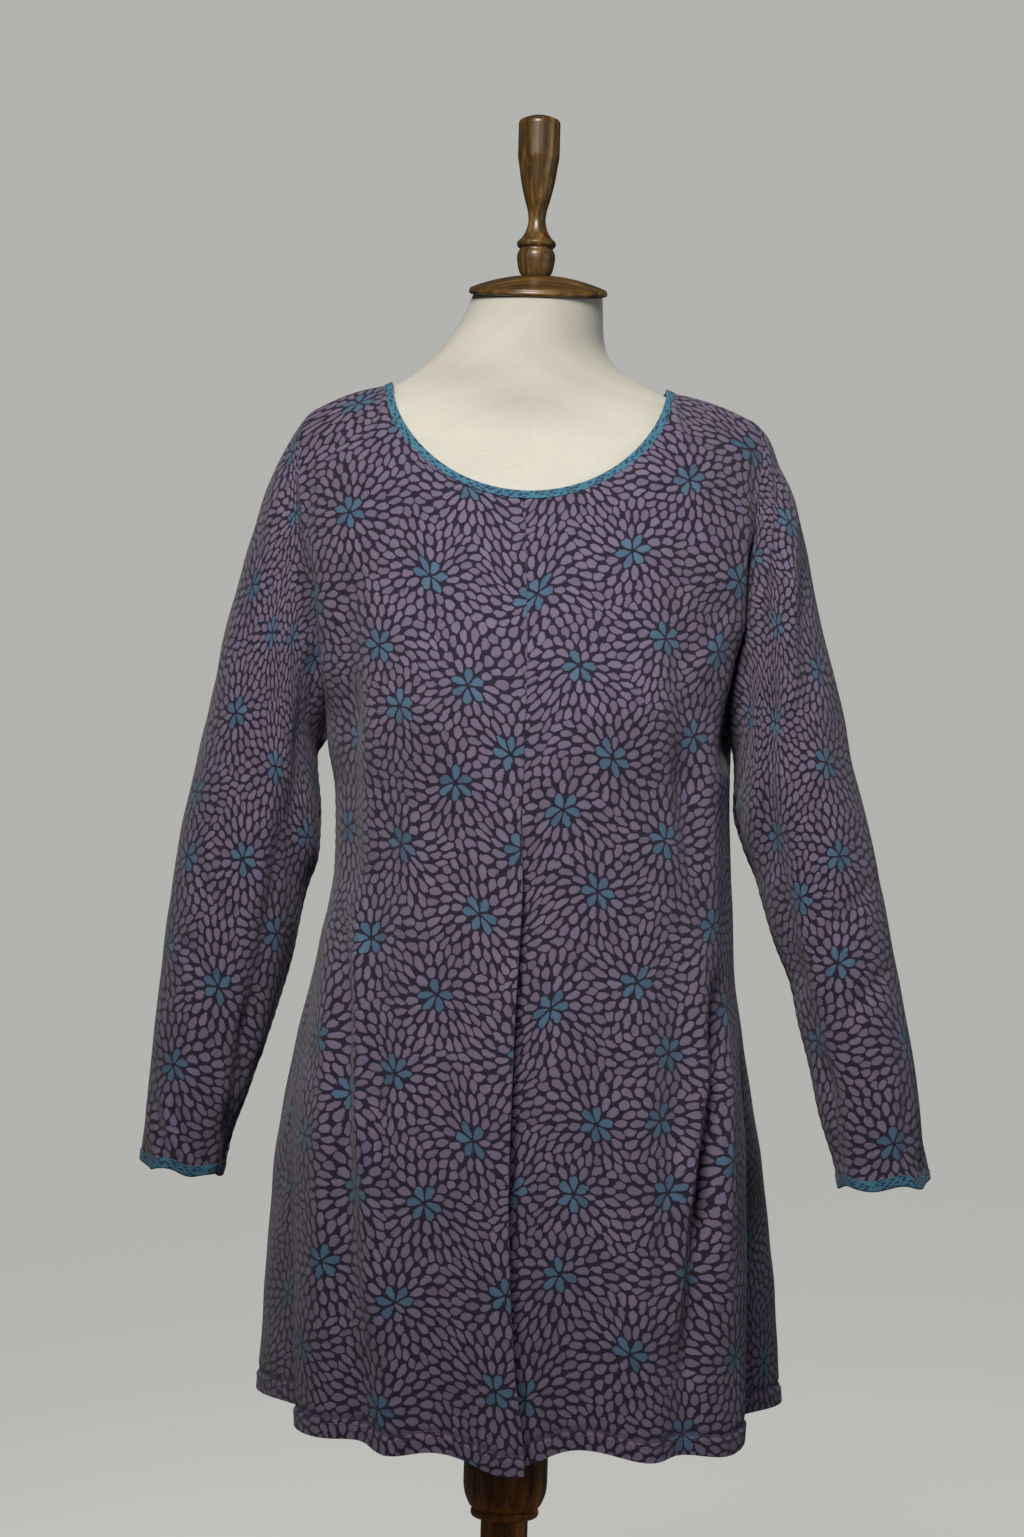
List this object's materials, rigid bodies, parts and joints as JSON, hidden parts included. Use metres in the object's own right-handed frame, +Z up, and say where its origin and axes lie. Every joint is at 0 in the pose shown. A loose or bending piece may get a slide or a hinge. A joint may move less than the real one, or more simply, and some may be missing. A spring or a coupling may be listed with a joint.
{
  "type": "a-line dress on a dress form",
  "caption": "Long-sleeved a-line tunic dress with a round bound neck and a front pleat, worn by a limbless linen form on a turned wooden stand.",
  "frame": {"origin": "middle of the base, on the floor", "axes": "+Z up, the dress's front towards -Y, and +X towards the right of a viewer who faces the front"},
  "size_m": [0.6486, 0.38, 1.6297],
  "materials": {
    "printed_jersey": "matt cotton jersey with a printed flower pattern",
    "teal_binding": "matt printed jersey binding",
    "linen": "stretched plain-weave linen",
    "turned_wood": "dark brown satin stain"
  },
  "bodies": {
    "root": {"front_left": "printed_jersey", "front_right": "printed_jersey", "pleat_underlay": "printed_jersey", "back": "printed_jersey", "sleeve_left": "printed_jersey", "sleeve_right": "printed_jersey", "neck_binding": "teal_binding", "cuff_binding_left": "teal_binding", "cuff_binding_right": "teal_binding", "form_torso": "linen", "neck_cap": "turned_wood", "finial": "turned_wood", "stand_drum": "turned_wood", "stand_pole": "turned_wood", "stand_base": "turned_wood"}
  },
  "joints": []
}
